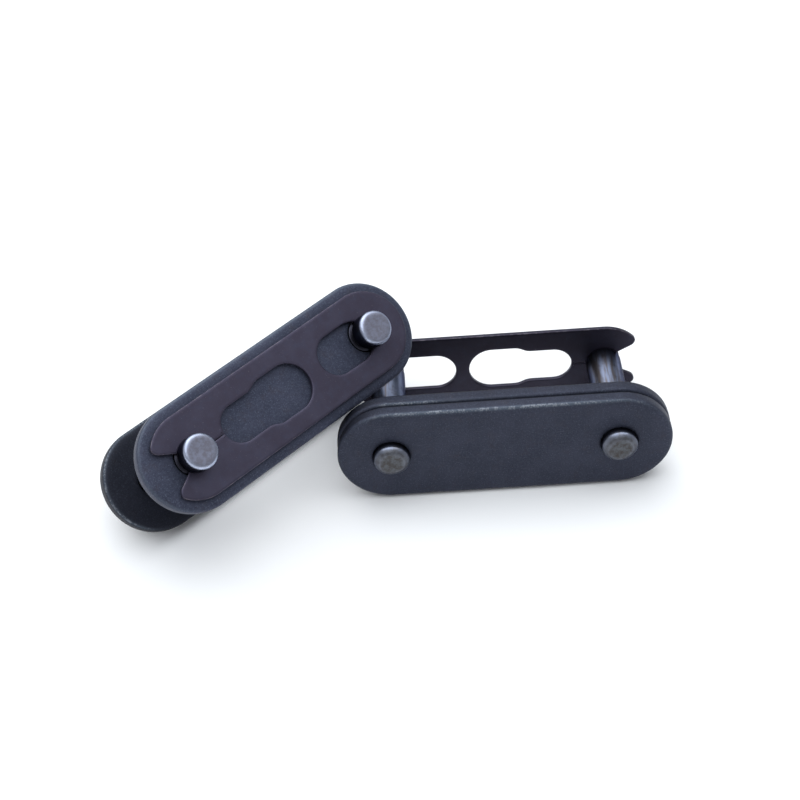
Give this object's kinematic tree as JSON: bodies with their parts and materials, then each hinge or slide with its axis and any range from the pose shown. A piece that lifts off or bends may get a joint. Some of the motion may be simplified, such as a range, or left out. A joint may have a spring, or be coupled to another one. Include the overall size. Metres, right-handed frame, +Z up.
{
  "type": "chain connecting link pair",
  "caption": "Loose connecting links for double-pitch roller chain, one upright and one leaning over it, each with riveted pins, a slip-on cover plate and a spring clip.",
  "frame": {"origin": "middle of the bottom of the whole part's box, on the ground", "axes": "+Z up, +X along the upright link's length, -Y towards the viewer of the upright link's riveted plate"},
  "size_m": [0.0798, 0.043, 0.0233],
  "materials": {
    "plate_steel": "blued, matte, finely mottled",
    "pin_steel": "ground steel, dulled, with worn bright ends",
    "clip_steel": "oil-blackened spring steel, satin, worn on its edges"
  },
  "bodies": {
    "right_link": {"right_riveted_plate": "plate_steel", "right_pin_a": "pin_steel", "right_pin_b": "pin_steel", "right_cover_plate": "plate_steel", "right_spring_clip": "clip_steel"},
    "left_link": {"left_riveted_plate": "plate_steel", "left_pin_a": "pin_steel", "left_pin_b": "pin_steel"},
    "left_cover": {"left_cover_plate": "plate_steel"},
    "left_clip": {"left_spring_clip": "clip_steel"}
  },
  "joints": [
    {"name": "left_link_lift", "type": "slide", "parent": "right_link", "child": "left_link", "axis": [-0.1998, 0.1998, 0.9592], "range_m": [0, 0.06]},
    {"name": "left_cover_slide", "type": "slide", "parent": "left_link", "child": "left_cover", "axis": [-0.4435, 0.4852, -0.7536], "range_m": [0, 0.003]},
    {"name": "left_clip_slide", "type": "slide", "parent": "left_link", "child": "left_clip", "axis": [0.7381, 0.6747, 0], "range_m": [0, 0.006], "deforming": ["left_spring_clip"]}
  ]
}
